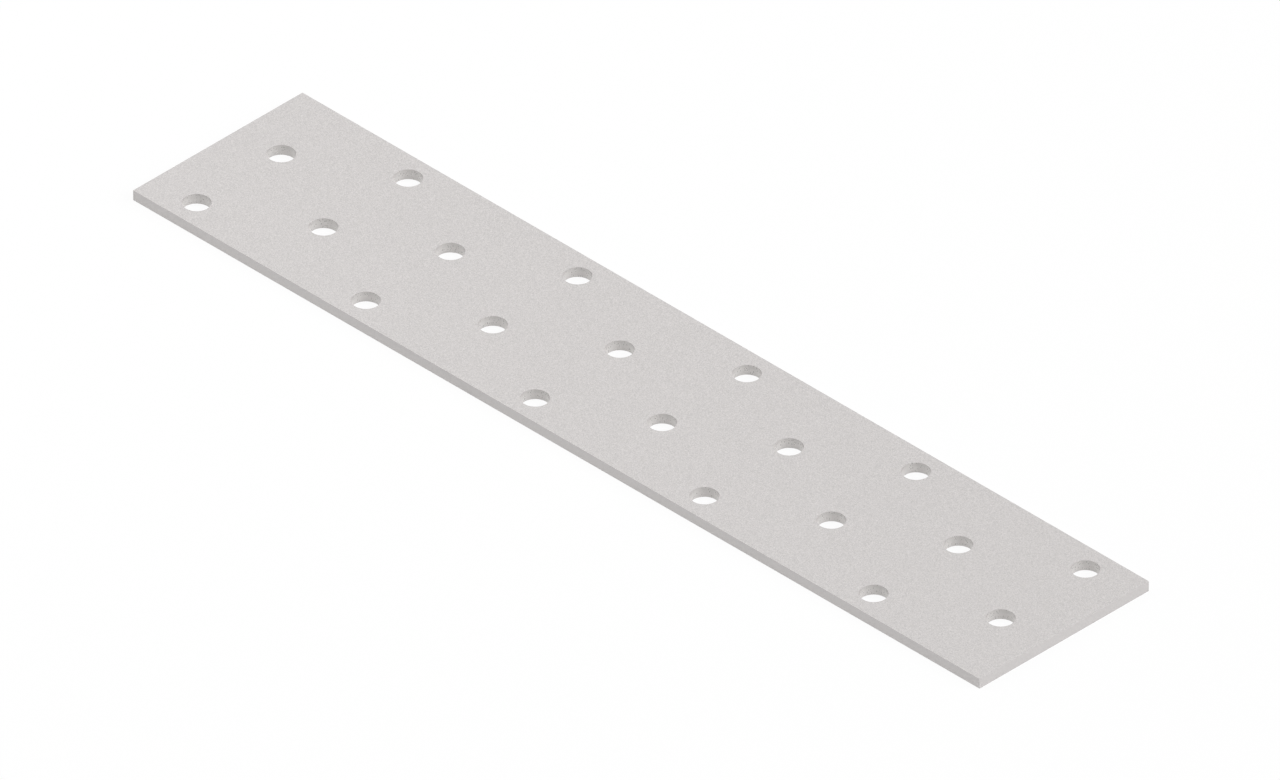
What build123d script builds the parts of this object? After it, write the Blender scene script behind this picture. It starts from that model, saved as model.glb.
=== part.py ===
"""Perforated joining plate: one flat strip of sheet steel, punched with staggered holes.

Millimetres. The length runs along X, the width along Y and the thickness along Z. The origin
is the centre of the lower face. The holes are punched downwards, through the upper face.
"""

import os
from math import floor

from build123d import *

# Driving dimensions
PLATE_LENGTH = 200.0
PLATE_WIDTH = 40.0
SHEET_THICKNESS = 2.0
HOLE_DIAMETER = 5.0
ROW_PITCH = 20.0  # from each row of holes to the next, along the plate
LINE_PITCH = 10.0  # from each line of holes to the next, across the plate
ROLL_OVER = 0.15  # radius that the shear draws along the upper edges
BURR_BREAK = 0.1  # chamfer along the lower edges, where the shear's burr is taken off
RIM_BREAK = 0.1  # chamfer on both rims of each hole


def centred_places(span, pitch):
    """The middles of the whole pitches that fit in a span centred on zero."""
    count = floor(round(span / pitch, 6))
    return [(place - (count - 1) / 2) * pitch for place in range(count)]


def hole_centres():
    """Every other crossing of the rows and the lines, so that each row is staggered from the next."""
    return [
        (x, y)
        for row, x in enumerate(centred_places(PLATE_LENGTH, ROW_PITCH))
        for line, y in enumerate(centred_places(PLATE_WIDTH, LINE_PITCH))
        if (row + line) % 2 == 0
    ]


def joining_plate():
    """The blank and its holes, cut from the sheet, with the edges as the press leaves them."""
    with BuildPart() as plate:
        with BuildSketch():
            Rectangle(PLATE_LENGTH, PLATE_WIDTH)
            with Locations(*hole_centres()):
                Circle(HOLE_DIAMETER / 2, mode=Mode.SUBTRACT)
        extrude(amount=SHEET_THICKNESS)
        chamfer(plate.edges().filter_by(GeomType.CIRCLE), RIM_BREAK)
        chamfer(plate.faces().sort_by(Axis.Z)[0].outer_wire().edges(), BURR_BREAK)
        fillet(plate.faces().sort_by(Axis.Z)[-1].outer_wire().edges(), ROLL_OVER)
    return plate.part


os.makedirs("parts", exist_ok=True)
export_step(joining_plate(), "parts/joining_plate.step")
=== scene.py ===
# %% [markdown]
# # A perforated joining plate
# The part is a flat strip of galvanised sheet steel. A shear cuts it to length and width, and a
# press punches twenty round holes through it, staggered from row to row. The strip lies over a
# butt joint, and screws or nails go through the holes on both sides of it.
#
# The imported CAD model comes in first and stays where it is. Everything below is in metres, in
# its frame: the length runs along X, the width along Y, and the underside rests on Z = 0.

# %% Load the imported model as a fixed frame
from math import cos, pi, radians, sin, sqrt

import bmesh
import bpy
from mathutils import Matrix, Vector


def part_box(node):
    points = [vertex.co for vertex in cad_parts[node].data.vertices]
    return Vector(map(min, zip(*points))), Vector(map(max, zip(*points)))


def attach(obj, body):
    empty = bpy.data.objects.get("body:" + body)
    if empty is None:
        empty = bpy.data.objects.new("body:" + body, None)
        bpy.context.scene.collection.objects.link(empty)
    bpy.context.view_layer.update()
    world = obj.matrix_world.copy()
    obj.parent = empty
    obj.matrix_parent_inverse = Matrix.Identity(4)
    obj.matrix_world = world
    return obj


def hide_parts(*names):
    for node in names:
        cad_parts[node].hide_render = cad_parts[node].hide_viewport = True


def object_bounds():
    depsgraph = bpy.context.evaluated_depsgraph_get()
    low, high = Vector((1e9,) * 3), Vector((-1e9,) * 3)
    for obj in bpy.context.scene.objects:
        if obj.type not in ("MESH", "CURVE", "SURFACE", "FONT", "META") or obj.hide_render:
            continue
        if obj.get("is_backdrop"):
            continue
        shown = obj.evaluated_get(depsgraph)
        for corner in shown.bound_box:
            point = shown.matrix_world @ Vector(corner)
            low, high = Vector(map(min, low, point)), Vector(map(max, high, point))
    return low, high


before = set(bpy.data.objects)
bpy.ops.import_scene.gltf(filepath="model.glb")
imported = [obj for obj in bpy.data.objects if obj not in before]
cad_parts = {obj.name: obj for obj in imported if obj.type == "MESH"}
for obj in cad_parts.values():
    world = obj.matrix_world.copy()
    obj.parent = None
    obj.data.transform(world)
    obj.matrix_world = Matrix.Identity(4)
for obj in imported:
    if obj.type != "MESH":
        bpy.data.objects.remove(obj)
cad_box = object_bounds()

MM = 0.001  # one millimetre, in Blender's metres

low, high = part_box("joining_plate")
LENGTH, WIDTH, THICKNESS = high - low
print(f"the plate is {LENGTH / MM:.1f} x {WIDTH / MM:.1f} x {THICKNESS / MM:.1f} mm")

# %% [markdown]
# ## The camera
# A small flat part seen from far away with a long lens shows almost no perspective, so parallel
# edges stay parallel. An orthographic camera draws it that way. It looks down on one corner so
# that the three axes are foreshortened alike, which is the isometric view of a catalogue: 45
# degrees round, and then down by the angle whose tangent is 1 / sqrt(2).
#
# A new object shows only once it is linked to the scene, so one small function makes it and
# links it.

# %% Aim the camera
AZIMUTH = radians(45)
ELEVATION = radians(35.264)
FRAME_WIDTH = 213.87 * MM  # what the picture's long side spans
AIM_LEFT, AIM_UP = 0.166 * MM, 0.102 * MM  # off the plate's centre, on the picture
STAND_BACK = 1.0  # metres, and nothing is nearer than this


def put(name, data):
    """A new object with that data, at the origin of the scene."""
    made = bpy.data.objects.new(name, data)
    bpy.context.scene.collection.objects.link(made)
    return made


to_camera = Vector(
    (sin(AZIMUTH) * cos(ELEVATION), -cos(AZIMUTH) * cos(ELEVATION), sin(ELEVATION))
)
camera = put("camera", bpy.data.cameras.new("camera"))
bpy.context.scene.camera = camera
camera.data.type = "ORTHO"
camera.data.ortho_scale = FRAME_WIDTH
turn = to_camera.to_track_quat("Z", "Y")
camera.rotation_mode = "QUATERNION"
camera.rotation_quaternion = turn
camera.location = (
    (low + high) / 2 + to_camera * STAND_BACK + turn @ Vector((-AIM_LEFT, AIM_UP, 0))
)
print(f"the picture spans {FRAME_WIDTH / MM:.1f} mm")

# %% [markdown]
# ## One function for every node
# Node trees are long to write by hand. One function adds a node, gives it its settings, and
# fills its sockets: a socket of another node becomes a link, and anything else a value. A new
# material or world brings nodes of its own, and a second function clears them away.


# %% Add a node, and clear a tree
def add(tree, kind, values=None, **settings):
    node = tree.nodes.new(kind)
    for name, setting in settings.items():
        setattr(node, name, setting)
    for name, value in (values or {}).items():
        if isinstance(value, bpy.types.NodeSocket):
            tree.links.new(value, node.inputs[name])
        else:
            node.inputs[name].default_value = value
    return node


def cleared(owner):
    """The node tree of a material or a world, switched on and empty."""
    owner.use_nodes = True
    owner.node_tree.nodes.clear()
    return owner.node_tree


# %% [markdown]
# ## Colours
# A finish is written down as the colour on a screen, in hex. Blender mixes light in linear
# values, so one function turns a hex colour to linear before a material takes it.


# %% Turn a hex colour to linear light
def linear(hex_colour):
    channels = [int(hex_colour[i : i + 2], 16) / 255 for i in (1, 3, 5)]
    return [
        c / 12.92 if c <= 0.04045 else ((c + 0.055) / 1.055) ** 2.4 for c in channels
    ] + [1.0]


DULLED_ZINC = "#C4C1C0"
SMEARED_ZINC = "#C6C3C2"
# The walls of the holes get a paler zinc than the rest. This is painted light, standing in for
# the light they lose inside the holes.
HOLE_WALL_ZINC_PAINTED_LIGHTER = "#D0CDCB"
for zinc in (DULLED_ZINC, SMEARED_ZINC, HOLE_WALL_ZINC_PAINTED_LIGHTER):
    print(zinc, "in linear light:", [round(c, 3) for c in linear(zinc)[:3]])

# %% [markdown]
# ## One recipe for three zinc finishes
# Zinc sets as crystals. Each lies at its own angle and sends back a little more or less light
# than its neighbour, so from arm's length the metal has a fine grain and no pattern. Voronoi
# cells draw the crystals: every cell has one random tone, one random gloss and one low dome. A
# film of white oxide and passivation lies over the metal and scatters part of the light, so a
# finish is only partly metallic.
#
# A tool that cuts leaves traces of its own. It rubs the domes down and draws the grain out along
# its stroke, which is Z. On a wall the recipe can also darken the colour towards the rim, over
# the
# upper half: that is painted shade. These are numbers of the recipe too, and a flat face leaves
# them alone.

# %% Make a zinc finish from its numbers
CRYSTAL = 0.11 * MM  # real crystals are 0.1 to 0.5 mm: the small ones, about half a pixel wide
ROLLED_RELIEF = 0.008 * MM  # a few thousandths of a millimetre, as rollers leave it
GLOSS_SHARE = 0.1  # how far a crystal's roughness strays either way, as a share of it


def zinc_finish(
    name, colour, tone, metallic, roughness, relief=ROLLED_RELIEF, drawn_out=1.0, painted_rim_shade=0.0
):
    """tone is how far a crystal's brightness strays either way, relief how high its dome stands,
    drawn_out how many times longer than wide it is, and the last one how much painted shade
    darkens the colour at the rim."""
    finish = bpy.data.materials.new(name)
    tree = cleared(finish)
    place = add(tree, "ShaderNodeTexCoord").outputs["Object"]
    stroke = add(
        tree, "ShaderNodeMapping", {"Vector": place, "Scale": (1, 1, 1 / drawn_out)}
    ).outputs["Vector"]
    crystals = add(
        tree, "ShaderNodeTexVoronoi", {"Vector": stroke, "Scale": 1 / CRYSTAL}
    ).outputs
    dice = add(tree, "ShaderNodeSeparateColor", {"Color": crystals["Color"]}).outputs
    shade = add(
        tree,
        "ShaderNodeMapRange",
        {"Value": dice["Red"], "To Min": 1 - tone, "To Max": 1 + tone},
    ).outputs["Result"]
    # Painted shade: the colour darkens over the upper half of a wall, most at the rim.
    height = add(tree, "ShaderNodeSeparateXYZ", {0: place}).outputs["Z"]
    rim = add(
        tree,
        "ShaderNodeMapRange",
        {
            "Value": height,
            "From Min": THICKNESS / 2,
            "From Max": THICKNESS,
            "To Min": 1.0,
            "To Max": 1 - painted_rim_shade,
        },
    ).outputs["Result"]
    both = add(tree, "ShaderNodeMath", {0: shade, 1: rim}, operation="MULTIPLY").outputs[0]
    zinc = add(
        tree, "ShaderNodeVectorMath", {0: linear(colour)[:3], "Scale": both}, operation="SCALE"
    ).outputs["Vector"]
    gloss = add(
        tree,
        "ShaderNodeMapRange",
        {
            "Value": dice["Green"],
            "To Min": roughness * (1 - GLOSS_SHARE),
            "To Max": roughness * (1 + GLOSS_SHARE),
        },
    ).outputs["Result"]
    domes = add(
        tree, "ShaderNodeBump", {"Height": crystals["Distance"], "Distance": relief}, invert=True
    ).outputs["Normal"]
    coat = add(
        tree,
        "ShaderNodeBsdfPrincipled",
        {"Base Color": zinc, "Metallic": metallic, "Roughness": gloss, "Normal": domes},
    ).outputs["BSDF"]
    add(tree, "ShaderNodeOutputMaterial", {"Surface": coat})
    print(f"{name}: {len(tree.nodes)} nodes")
    return finish


# %% [markdown]
# ## The two flat faces: hot-dip galvanised sheet, skin-passed
# The sheet runs through molten zinc and then between matt rollers, which press the crystals
# flat. That gives the eye an even, soft, slightly warm grey with the liveliest grain of the
# three, and no mirror image of anything.

# %% Finish the flat faces
coated_face = zinc_finish(
    "galvanised_skin_passed", DULLED_ZINC, tone=0.155, metallic=0.65, roughness=0.6
)

# %% [markdown]
# ## The outer edges: sheared through the zinc
# The blade drags zinc from the face down over the cut, so the edge is as pale as the face. The
# eye gets a quieter grain, drawn out twice as long along the blade's stroke.

# %% Finish the outer edges
sheared_edge = zinc_finish(
    "galvanised_sheared",
    SMEARED_ZINC,
    tone=0.03,
    metallic=0.65,
    roughness=0.6,
    relief=0.004 * MM,
    drawn_out=2,
    # painted shade: the colour is 3% darker at the top of the edge, fading out halfway down
    painted_rim_shade=0.03,
)

# %% [markdown]
# ## The walls of the holes: punched
# The punch rubs the wall smooth on its way through. A smoother wall mirrors more at a glancing
# angle, and low down it picks up the pale floor under the hole. Its zinc is painted paler than
# the other finishes, as painted light for the light the walls lose inside the holes, and painted
# shade darkens it just below the rim. So each hole is outlined by a fine dark line.

# %% Finish the walls of the holes
punched_wall = zinc_finish(
    "galvanised_punched",
    HOLE_WALL_ZINC_PAINTED_LIGHTER,
    tone=0.02,
    metallic=0.45,
    roughness=0.3,
    relief=0.002 * MM,
    drawn_out=2,
    # painted shade: the colour is 10% darker at the rim, fading out halfway down
    painted_rim_shade=0.1,
)

# %% [markdown]
# ## The cut walls
# Shear and punch both leave the same kind of wall. The blade draws the upper edge of the sheet
# down into a small round, cuts straight through, and the burr below is taken off afterwards. So
# one node group draws that section once, and both the outline and the holes are made with it.
# Its sizes are named inputs, and so are those of the plate's own tree further on.


# %% Open the section's tree
def open_tree(name, inputs, result):
    """A Geometry Nodes tree with those named inputs, each of its kind, and one mesh as result."""
    tree = bpy.data.node_groups.new(name, "GeometryNodeTree")
    for label, kind in inputs.items():
        tree.interface.new_socket(label, in_out="INPUT", socket_type="NodeSocket" + kind)
    tree.interface.new_socket(result, in_out="OUTPUT", socket_type="NodeSocketGeometry")
    print(f"{name}: {len(inputs)} inputs")
    return tree


cut_wall = open_tree(
    "cut_wall",
    {
        "Sides": "Int",
        "Corner Reach": "Float",
        "First Corner": "Float",
        "Half Size": "Vector",
        "Thickness": "Float",
        "Break Below": "Float",
        "Round Above": "Float",
        "Round Steps": "Int",
        "Inwards": "Float",
    },
    "Wall",
)

# %% [markdown]
# The section starts as an open tube with one ring of points for each of its steps. The rings
# are one unit apart to begin with, so a point's Z is the number of its ring.

# %% Draw the tube of rings
BREAK_RINGS = 2.0  # the lower line of the break and its upper line: the round has the others
tree = cut_wall
given = add(tree, "NodeGroupInput").outputs
spans = add(
    tree, "ShaderNodeMath", {0: given["Round Steps"], 1: BREAK_RINGS}, operation="ADD"
).outputs[0]
tube = add(
    tree,
    "GeometryNodeMeshCylinder",
    {
        "Vertices": given["Sides"],
        "Side Segments": spans,
        "Radius": given["Corner Reach"],
        "Depth": spans,
    },
    fill_type="NONE",
).outputs["Mesh"]
facing = add(tree, "ShaderNodeCombineXYZ", {"Z": given["First Corner"]}).outputs[0]
lift = add(tree, "ShaderNodeMath", {0: spans, 1: 0.5}, operation="MULTIPLY").outputs[0]
raised = add(tree, "ShaderNodeCombineXYZ", {"Z": lift}).outputs[0]
rings = add(
    tree,
    "GeometryNodeTransform",
    {"Geometry": tube, "Translation": raised, "Rotation": facing},
).outputs[0]
print("cut_wall: a tube of rings, in", len(tree.nodes), "nodes so far")

# %% [markdown]
# The round is a quarter turn, shared out evenly among its steps. Its cosine says how far a ring
# is drawn in, and its sine how far it is drawn down.

# %% Work out each ring's step round the edge
place = add(tree, "GeometryNodeInputPosition").outputs[0]
corner = add(tree, "ShaderNodeSeparateXYZ", {0: place}).outputs
ring = add(tree, "ShaderNodeMath", {0: corner["Z"]}, operation="ROUND").outputs[0]
bend = add(
    tree,
    "ShaderNodeMapRange",
    {
        "Value": ring,
        "From Min": BREAK_RINGS,
        "From Max": spans,
        "To Min": 0.0,
        "To Max": pi / 2,
    },
).outputs["Result"]
along = add(tree, "ShaderNodeMath", {0: bend}, operation="COSINE").outputs[0]
up = add(tree, "ShaderNodeMath", {0: bend}, operation="SINE").outputs[0]
left = add(tree, "ShaderNodeMath", {0: 1.0, 1: along}, operation="SUBTRACT").outputs[0]
drawn_in = add(
    tree, "ShaderNodeMath", {0: left, 1: given["Round Above"]}, operation="MULTIPLY"
).outputs[0]
below = add(tree, "ShaderNodeMath", {0: up, 1: 1.0}, operation="SUBTRACT").outputs[0]
drawn_down = add(
    tree,
    "ShaderNodeMath",
    {0: below, 1: given["Round Above"], 2: given["Thickness"]},
    operation="MULTIPLY_ADD",
).outputs[0]
print("cut_wall: the round's quarter turn, in", len(tree.nodes), "nodes so far")

# %% [markdown]
# Now every ring goes to its height and to its distance from the nominal line. A choice by the
# ring's number picks them: the break's lower line, its upper line, or the round.

# %% Move every ring to its place
step = add(tree, "ShaderNodeMath", {0: ring, 1: BREAK_RINGS}, operation="MINIMUM").outputs[0]
inset = add(tree, "GeometryNodeIndexSwitch", {"Index": step}, data_type="FLOAT")
height = add(tree, "GeometryNodeIndexSwitch", {"Index": step}, data_type="FLOAT")
for choice, sources in (
    (inset, {"0": given["Break Below"], "2": drawn_in}),
    (height, {"1": given["Break Below"], "2": drawn_down}),
):
    choice.index_switch_items.new()
    for item, source in sources.items():
        tree.links.new(source, choice.inputs[item])
shift = add(
    tree, "ShaderNodeMath", {0: inset.outputs[0], 1: given["Inwards"]}, operation="MULTIPLY"
).outputs[0]
reach = add(
    tree, "ShaderNodeVectorMath", {0: given["Half Size"], 1: shift}, operation="SUBTRACT"
).outputs[0]
spread = add(tree, "ShaderNodeVectorMath", {0: place, 1: reach}, operation="MULTIPLY").outputs[0]
flat = add(tree, "ShaderNodeSeparateXYZ", {0: spread}).outputs
there = add(
    tree, "ShaderNodeCombineXYZ", {"X": flat["X"], "Y": flat["Y"], "Z": height.outputs[0]}
).outputs[0]
wall = add(tree, "GeometryNodeSetPosition", {"Geometry": rings, "Position": there}).outputs[0]
add(tree, "NodeGroupOutput", {"Wall": wall})
print("cut_wall: finished, with", len(tree.nodes), "nodes")

# %% [markdown]
# ## The plate
# The holes follow a rule, so Geometry Nodes place them. A grid has one point for each crossing
# of the rows and the lines, and a hole's wall stands on every other point. The two flat faces
# are then filled in between the walls' own rims, so that they meet the walls exactly. A Boolean
# would cut the holes as well, but it leaves the faces between them in untidy slivers.

# %% Open the plate's tree
perforated_plate = open_tree(
    "perforated_plate",
    {
        "Length": "Float",
        "Width": "Float",
        "Thickness": "Float",
        "Hole Diameter": "Float",
        "Row Pitch": "Float",
        "Line Pitch": "Float",
        "Roll Over": "Float",
        "Burr Break": "Float",
        "Rim Break": "Float",
        "Hole Sides": "Int",
        "Coated Face": "Material",
        "Sheared Edge": "Material",
        "Punched Wall": "Material",
    },
    "Plate",
)

# %% [markdown]
# The outline is a cut wall with four corners. Its corners lie at a reach of sqrt(2) and 45
# degrees round, so that half the length and half the width stretch it to the plate's size. A
# hole is the same wall with many corners, and turned inside out.

# %% Draw the outline and one hole
tree = perforated_plate
given = add(tree, "NodeGroupInput").outputs
size = add(
    tree, "ShaderNodeCombineXYZ", {"X": given["Length"], "Y": given["Width"]}
).outputs[0]
half = add(tree, "ShaderNodeVectorMath", {0: size, "Scale": 0.5}, operation="SCALE").outputs[0]
outline = add(
    tree,
    "GeometryNodeGroup",
    {
        "Sides": 4,
        "Corner Reach": sqrt(2),
        "First Corner": pi / 4,
        "Half Size": half,
        "Thickness": given["Thickness"],
        "Break Below": given["Burr Break"],
        "Round Above": given["Roll Over"],
        "Round Steps": 4,
        "Inwards": 1.0,
    },
    node_tree=cut_wall,
).outputs[0]
bore = add(
    tree,
    "ShaderNodeVectorMath",
    {0: (0.5, 0.5, 0.0), "Scale": given["Hole Diameter"]},
    operation="SCALE",
).outputs[0]
hole = add(
    tree,
    "GeometryNodeGroup",
    {
        "Sides": given["Hole Sides"],
        "Corner Reach": 1.0,
        "First Corner": 0.0,
        "Half Size": bore,
        "Thickness": given["Thickness"],
        "Break Below": given["Rim Break"],
        "Round Above": given["Rim Break"],
        "Round Steps": 1,
        "Inwards": -1.0,
    },
    node_tree=cut_wall,
).outputs[0]
facing_in = add(tree, "GeometryNodeFlipFaces", {"Mesh": hole}).outputs[0]
marked = add(
    tree,
    "GeometryNodeStoreNamedAttribute",
    {"Geometry": facing_in, "Name": "punched", "Value": True},
    data_type="BOOLEAN",
    domain="FACE",
).outputs[0]
print("perforated_plate: the outline and one hole, in", len(tree.nodes), "nodes so far")

# %% [markdown]
# The grid has as many rows and lines as whole pitches fit on the plate, and it is centred.

# %% Lay the grid of rows and lines
ROUNDING = 1e-4  # of a pitch, so that an exact fit isn't rounded down

pitches = add(
    tree, "ShaderNodeCombineXYZ", {"X": given["Row Pitch"], "Y": given["Line Pitch"], "Z": 1.0}
).outputs[0]
ratio = add(tree, "ShaderNodeVectorMath", {0: size, 1: pitches}, operation="DIVIDE").outputs[0]
nudged = add(
    tree, "ShaderNodeVectorMath", {0: ratio, 1: (ROUNDING,) * 3}, operation="ADD"
).outputs[0]
counts = add(tree, "ShaderNodeVectorMath", {0: nudged}, operation="FLOOR").outputs[0]
steps = add(
    tree, "ShaderNodeVectorMath", {0: counts, 1: (1.0,) * 3}, operation="SUBTRACT"
).outputs[0]
span = add(tree, "ShaderNodeVectorMath", {0: steps, 1: pitches}, operation="MULTIPLY").outputs[0]
count = add(tree, "ShaderNodeSeparateXYZ", {0: counts}).outputs
spread = add(tree, "ShaderNodeSeparateXYZ", {0: span}).outputs
crossings = add(
    tree,
    "GeometryNodeMeshGrid",
    {
        "Size X": spread["X"],
        "Size Y": spread["Y"],
        "Vertices X": count["X"],
        "Vertices Y": count["Y"],
    },
).outputs["Mesh"]
print("perforated_plate: the grid, in", len(tree.nodes), "nodes so far")

# %% [markdown]
# Each crossing works out its row number and its line number from where it is. Where their sum
# is even, a hole is punched.

# %% Stand a hole on every other crossing
EVEN_BELOW = 0.5  # the remainder is 0 where the sum is even, and 1 where it is odd

place = add(tree, "GeometryNodeInputPosition").outputs[0]
from_corner = add(
    tree, "ShaderNodeVectorMath", {0: span, 1: (0.5,) * 3, 2: place}, operation="MULTIPLY_ADD"
).outputs[0]
number = add(
    tree, "ShaderNodeVectorMath", {0: from_corner, 1: pitches}, operation="DIVIDE"
).outputs[0]
row_and_line = add(tree, "ShaderNodeSeparateXYZ", {0: number}).outputs
total = add(
    tree, "ShaderNodeMath", {0: row_and_line["X"], 1: row_and_line["Y"]}, operation="ADD"
).outputs[0]
whole = add(tree, "ShaderNodeMath", {0: total}, operation="ROUND").outputs[0]
odd = add(tree, "ShaderNodeMath", {0: whole, 1: 2.0}, operation="MODULO").outputs[0]
even = add(tree, "ShaderNodeMath", {0: odd, 1: EVEN_BELOW}, operation="LESS_THAN").outputs[0]
holes = add(
    tree,
    "GeometryNodeInstanceOnPoints",
    {"Points": crossings, "Selection": even, "Instance": marked},
).outputs[0]
real_holes = add(tree, "GeometryNodeRealizeInstances", {0: holes}).outputs[0]
walls = add(tree, "GeometryNodeJoinGeometry")
tree.links.new(real_holes, walls.inputs[0])
tree.links.new(outline, walls.inputs[0])
print("perforated_plate: all the cut walls, in", len(tree.nodes), "nodes so far")

# %% [markdown]
# An edge with one face is a rim. The rims of the upper half become curves, and one fill closes
# the face between the outline and the holes. The lower half gets the same and is flipped to
# face down. Then the faces are sewn to the walls.

# %% Fill in the two flat faces
SEWN = 0.002 * MM  # points nearer than this become one
RIM_BELOW = 1.5  # an edge has one face at a rim, and two everywhere else

sharers = add(tree, "GeometryNodeInputMeshEdgeNeighbors").outputs["Face Count"]
open_rim = add(
    tree, "ShaderNodeMath", {0: sharers, 1: RIM_BELOW}, operation="LESS_THAN"
).outputs[0]
middle = add(
    tree, "ShaderNodeMath", {0: given["Thickness"], 1: 0.5}, operation="MULTIPLY"
).outputs[0]
tall = add(tree, "ShaderNodeSeparateXYZ", {0: place}).outputs["Z"]
sheets = []
for side in ("GREATER_THAN", "LESS_THAN"):
    chosen = add(tree, "ShaderNodeMath", {0: tall, 1: middle}, operation=side).outputs[0]
    rim = add(tree, "ShaderNodeMath", {0: open_rim, 1: chosen}, operation="MULTIPLY").outputs[0]
    line = add(
        tree, "GeometryNodeMeshToCurve", {"Mesh": walls.outputs[0], "Selection": rim}
    ).outputs[0]
    sheets.append(add(tree, "GeometryNodeFillCurve", {0: line}, mode="TRIANGLES").outputs[0])
top_height = add(tree, "ShaderNodeCombineXYZ", {"Z": given["Thickness"]}).outputs[0]
upper = add(
    tree, "GeometryNodeTransform", {"Geometry": sheets[0], "Translation": top_height}
).outputs[0]
lower = add(tree, "GeometryNodeFlipFaces", {"Mesh": sheets[1]}).outputs[0]
loose = add(tree, "GeometryNodeJoinGeometry")
for part in (walls.outputs[0], upper, lower):
    tree.links.new(part, loose.inputs[0])
sewn = add(
    tree, "GeometryNodeMergeByDistance", {"Geometry": loose.outputs[0], "Distance": SEWN}
).outputs[0]
print("perforated_plate: a closed surface, in", len(tree.nodes), "nodes so far")

# %% [markdown]
# The walls of the holes are shaded smooth, the flat faces flat, and every crease stays sharp.

# %% Sharpen the creases
LEVEL = 0.99  # the Z of a normal from which a face counts as flat
CREASE = radians(30)

normal = add(tree, "GeometryNodeInputNormal").outputs[0]
upright = add(tree, "ShaderNodeSeparateXYZ", {0: normal}).outputs["Z"]
level = add(tree, "ShaderNodeMath", {0: upright}, operation="ABSOLUTE").outputs[0]
curved = add(tree, "ShaderNodeMath", {0: level, 1: LEVEL}, operation="LESS_THAN").outputs[0]
smooth = add(
    tree,
    "GeometryNodeSetShadeSmooth",
    {"Geometry": sewn, "Shade Smooth": curved},
    domain="FACE",
).outputs[0]
fold = add(tree, "GeometryNodeInputMeshEdgeAngle").outputs["Unsigned Angle"]
gentle = add(tree, "ShaderNodeMath", {0: fold, 1: CREASE}, operation="LESS_THAN").outputs[0]
creased = add(
    tree,
    "GeometryNodeSetShadeSmooth",
    {"Geometry": smooth, "Shade Smooth": gentle},
    domain="EDGE",
).outputs[0]
print("perforated_plate: shaded, in", len(tree.nodes), "nodes so far")

# %% [markdown]
# Last come the finishes, from the cut outwards: the zinc skin lies on every face that looks up
# or straight down, and stops where the cut starts.

# %% Lay on the finishes
TILTED_UP = 0.1  # the Z of a normal from which the skin still reaches over the edge

real = add(tree, "GeometryNodeRealizeInstances", {0: creased}).outputs[0]
punched = add(
    tree, "GeometryNodeInputNamedAttribute", {"Name": "punched"}, data_type="BOOLEAN"
).outputs["Attribute"]
above = add(
    tree, "ShaderNodeMath", {0: upright, 1: TILTED_UP}, operation="GREATER_THAN"
).outputs[0]
beneath = add(tree, "ShaderNodeMath", {0: upright, 1: -LEVEL}, operation="LESS_THAN").outputs[0]
skin = add(tree, "ShaderNodeMath", {0: above, 1: beneath}, operation="ADD").outputs[0]
edged = add(
    tree, "GeometryNodeSetMaterial", {"Geometry": real, "Material": given["Sheared Edge"]}
).outputs[0]
walled = add(
    tree,
    "GeometryNodeSetMaterial",
    {"Geometry": edged, "Selection": punched, "Material": given["Punched Wall"]},
).outputs[0]
faced = add(
    tree,
    "GeometryNodeSetMaterial",
    {"Geometry": walled, "Selection": skin, "Material": given["Coated Face"]},
).outputs[0]
add(tree, "NodeGroupOutput", {"Plate": faced})
print("perforated_plate: finished, with", len(tree.nodes), "nodes")

# %% [markdown]
# ## Sizes of the holes and the edges
# The holes are 5 mm across. Rows lie 20 mm apart along the plate and lines 10 mm apart across
# it. Shear and press are sharp and well set, and the plate's edges look crisp: a wider round
# would catch the light and draw a bright line round every edge. So they are broken by a
# hundredth of a millimetre only. A hole has sixty-four sides, each a quarter of a millimetre
# long, which is too short for the eye to find a corner.

# %% Set the plate's sizes
CRISP = 0.01 * MM

sizes = {
    "Length": LENGTH,
    "Width": WIDTH,
    "Thickness": THICKNESS,
    "Hole Diameter": 5.0 * MM,
    "Row Pitch": 20.0 * MM,
    "Line Pitch": 10.0 * MM,
    "Roll Over": CRISP,
    "Burr Break": CRISP,
    "Rim Break": CRISP,
    "Hole Sides": 64,
    "Coated Face": coated_face,
    "Sheared Edge": sheared_edge,
    "Punched Wall": punched_wall,
}
print(f"breaks of {CRISP / MM:.2f} mm, and holes of {sizes['Hole Sides']} sides")

# %% [markdown]
# The tree works as a modifier on an empty mesh. Its inputs are set by their identifiers, the
# result is taken off as a plain mesh, and the modifier goes. The plate itself is an object at
# the origin, unturned and unscaled, as the CAD solid is.

# %% Make the plate
maker = put("plate_maker", bpy.data.meshes.new("plate_maker"))
press = maker.modifiers.new("press", "NODES")
press.node_group = perforated_plate
for socket in perforated_plate.interface.items_tree:
    if socket.in_out == "INPUT":
        press[socket.identifier] = sizes[socket.name]
shaped = bpy.data.meshes.new_from_object(
    maker.evaluated_get(bpy.context.evaluated_depsgraph_get())
)
bpy.data.objects.remove(maker)
shaped.name = "perforated_plate"
shaped.attributes.remove(shaped.attributes["punched"])
if shaped.materials[0] is None:  # the primitives bring an empty slot, which no face uses
    shaped.materials.pop(index=0)
plate = put("perforated_plate", shaped)
print("the plate has", len(shaped.polygons), "faces")

# %% [markdown]
# ## Check the mesh
# A mesh that is closed has two faces at every edge, and its volume can be measured. It should
# come near to the CAD solid's: that one has wider breaks at its edges and rounder holes.


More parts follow.
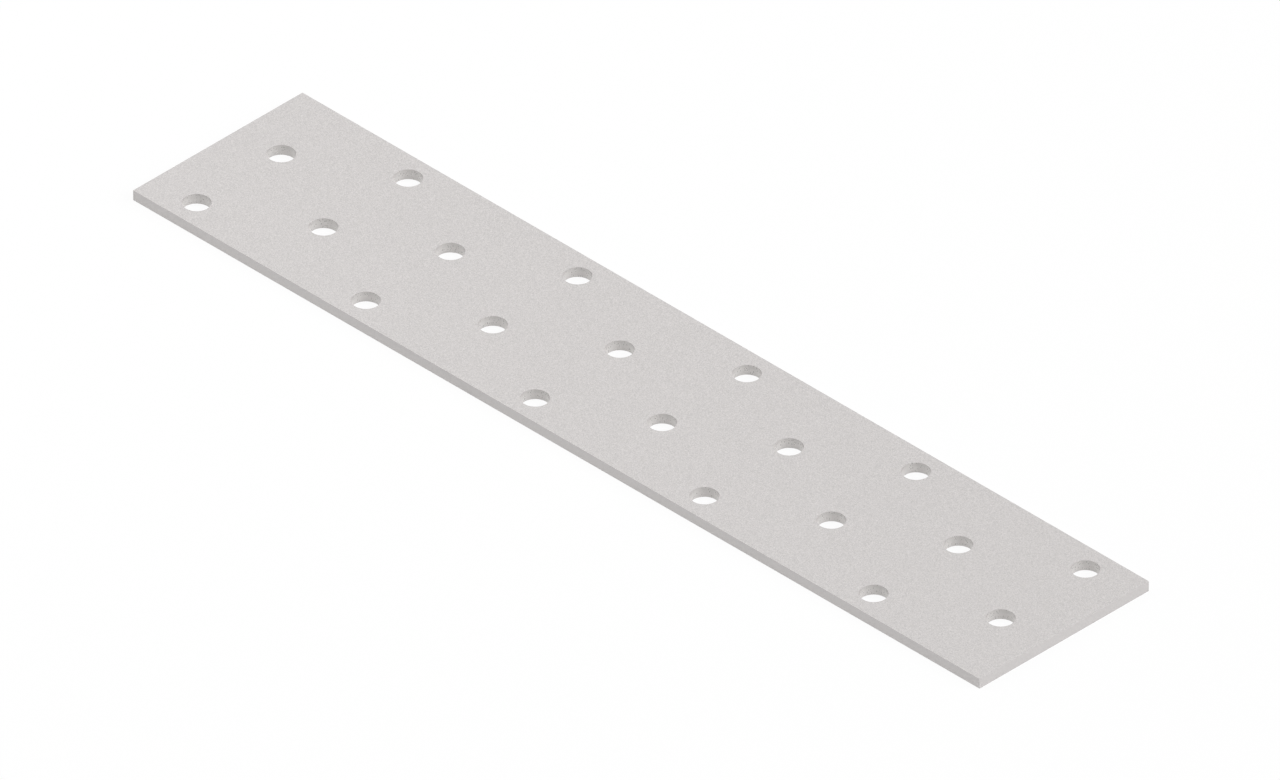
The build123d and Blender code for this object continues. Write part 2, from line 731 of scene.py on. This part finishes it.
# %% Measure the plate against the CAD solid
def measure(mesh):
    """(volume in cubic millimetres, number of edges without exactly two faces)"""
    shell = bmesh.new()
    shell.from_mesh(mesh)
    bmesh.ops.remove_doubles(shell, verts=shell.verts, dist=SEWN / 2)
    found = shell.calc_volume(signed=True) / MM**3, sum(
        len(edge.link_faces) != 2 for edge in shell.edges
    )
    shell.free()
    return found


for label, mesh in (("made", shaped), ("CAD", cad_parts["joining_plate"].data)):
    volume, open_edges = measure(mesh)
    print(f"{label}: {volume:.1f} cubic mm, {open_edges} open edges")
for slot, finish in enumerate(shaped.materials):
    faces = sum(face.material_index == slot for face in shaped.polygons)
    print(f"{finish.name}: {faces} faces")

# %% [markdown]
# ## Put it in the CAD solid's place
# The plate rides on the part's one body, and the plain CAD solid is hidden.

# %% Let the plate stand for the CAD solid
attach(plate, "root")
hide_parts("joining_plate")
print(plate.name, "stands for joining_plate on the body root")

# %% [markdown]
# ## The floor
# A pale floor carries the plate. To the camera, and in reflections, floor and surroundings are
# white, as in a catalogue. The diffuse light that they send to the plate is dimmer, so that the
# white doesn't overexpose it. The floor and the world both need to tell these rays apart.


# %% Tell what is seen from what only carries light
def seen_directly(tree):
    """1 for a ray from the camera, a mirror or a glass, and 0 for one that only carries light."""
    path = add(tree, "ShaderNodeLightPath").outputs
    shiny = add(
        tree,
        "ShaderNodeMath",
        {0: path["Is Glossy Ray"], 1: path["Is Transmission Ray"]},
        operation="MAXIMUM",
    ).outputs[0]
    return add(
        tree, "ShaderNodeMath", {0: path["Is Camera Ray"], 1: shiny}, operation="MAXIMUM"
    ).outputs[0]


# %% [markdown]
# The floor keeps a small share of its own lit surface in view, and with it the soft shadow that
# shows that the plate lies on something. The rest of what the camera sees of it is plain white.

# %% Lay the floor
WHITE = "#FFFFFF"
PALE = "#FDFDFD"
LIT_SHARE = 0.06  # how much of the floor's own shading the camera sees
FLOOR_HALF = 3.0  # metres
HAIR = 0.01 * MM  # the floor lies this far below, so that the two surfaces never flicker

floor_finish = bpy.data.materials.new("pale_floor")
tree = cleared(floor_finish)
share = add(
    tree, "ShaderNodeMath", {0: seen_directly(tree), 1: 1 - LIT_SHARE}, operation="MULTIPLY"
).outputs[0]
lit = add(tree, "ShaderNodeBsdfDiffuse", {"Color": linear(PALE)}).outputs[0]
white = add(
    tree, "ShaderNodeEmission", {"Color": linear(WHITE), "Strength": 1.0}
).outputs[0]
mixed = add(tree, "ShaderNodeMixShader", {0: share, 1: lit, 2: white}).outputs[0]
add(tree, "ShaderNodeOutputMaterial", {"Surface": mixed})

slab = bmesh.new()
bmesh.ops.create_grid(
    slab, x_segments=1, y_segments=1, size=FLOOR_HALF, matrix=Matrix.Translation((0, 0, -HAIR))
)
floor_mesh = bpy.data.meshes.new("floor")
slab.to_mesh(floor_mesh)
slab.free()
floor_mesh.materials.append(floor_finish)
floor = put("floor", floor_mesh)
floor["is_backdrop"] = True
print(f"the camera sees {LIT_SHARE:.0%} of the floor's own shading")

# %% [markdown]
# ## The light
# Plain soft studio light: an even glow from all round and three lamps. Together they light a
# level white card to just about full white, so a colour comes out as it is written. The glow
# comes from the world, and its strength is the share of full white that it gives by itself.

# %% Let the surroundings glow
AMBIENT = 0.253

world = bpy.data.worlds.new("studio")
bpy.context.scene.world = world
tree = cleared(world)
glow = add(
    tree,
    "ShaderNodeMapRange",
    {"Value": seen_directly(tree), "To Min": AMBIENT, "To Max": 1.0},
).outputs["Result"]
around = add(
    tree, "ShaderNodeBackground", {"Color": linear(WHITE), "Strength": glow}
).outputs[0]
add(tree, "ShaderNodeOutputWorld", {"Surface": around})
print(f"a level white card in the glow alone: {AMBIENT:.2f} of full white")

# %% [markdown]
# A broad key lamp hangs beyond the plate's right end, and a weaker fill beyond its left end.
# Both are so far away and so broad that they act as soft suns. One smaller lamp hangs close by
# and makes the left end a trace brighter than the right. Each lamp's strength is written as its
# share of full white on a card that faces it. A sun's energy is that share times pi. The light of
# an area lamp spreads out on its way, so there it is the share times the square of pi times the
# distance.

# %% Hang the lamps
SOFT_SUNS = {  # each one's share, azimuth and elevation
    "key": (0.745, 30, 34),
    "fill": (0.333, 210, 30),
}
SPREAD = 50  # degrees that a soft sun spans, seen from the plate
SUN_AWAY = 2.0  # metres, only to keep it out of the way
NEAR_SHARE, NEAR_AZIMUTH, NEAR_ELEVATION = 0.180, 180, 60
NEAR_AWAY, NEAR_SIZE = 0.65, 0.3  # metres


def hang_lamp(name, kind, azimuth, elevation, distance):
    """A lamp that shines at the plate from that compass angle, counted from +X towards +Y."""
    light = put(name, bpy.data.lights.new(name, kind))
    a, e = radians(azimuth), radians(elevation)
    away = Vector((cos(a) * cos(e), sin(a) * cos(e), sin(e)))
    light.rotation_mode = "QUATERNION"
    light.rotation_quaternion = away.to_track_quat("Z", "Y")
    light.location = away * distance
    return light


card = AMBIENT + NEAR_SHARE * sin(radians(NEAR_ELEVATION))
for name, (strength, azimuth, elevation) in SOFT_SUNS.items():
    sun = hang_lamp(name, "SUN", azimuth, elevation, SUN_AWAY)
    sun.data.energy = strength * pi
    sun.data.angle = radians(SPREAD)
    card += strength * sin(radians(elevation))
near = hang_lamp("near", "AREA", NEAR_AZIMUTH, NEAR_ELEVATION, NEAR_AWAY)
near.data.size = NEAR_SIZE
near.data.energy = NEAR_SHARE * (pi * NEAR_AWAY) ** 2
print(f"a level white card in all the light: {card:.2f} of full white")

# %% [markdown]
# Blender can grade a picture as film would, and that would shift every colour. The Standard view
# leaves them as they are.

# %% Keep plain colours
bpy.context.scene.view_settings.view_transform = "Standard"
print("view transform:", bpy.context.scene.view_settings.view_transform)

# %% [markdown]
# ## Sizes
# Blender changes no dimension of the part, so the box of what is shown has to be the CAD box.

# %% Compare both boxes, and finish
shown_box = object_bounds()
difference = max(abs(a - b) for c, s in zip(cad_box, shown_box) for a, b in zip(c, s))
print(f"largest difference: {difference / MM:.6f} mm")
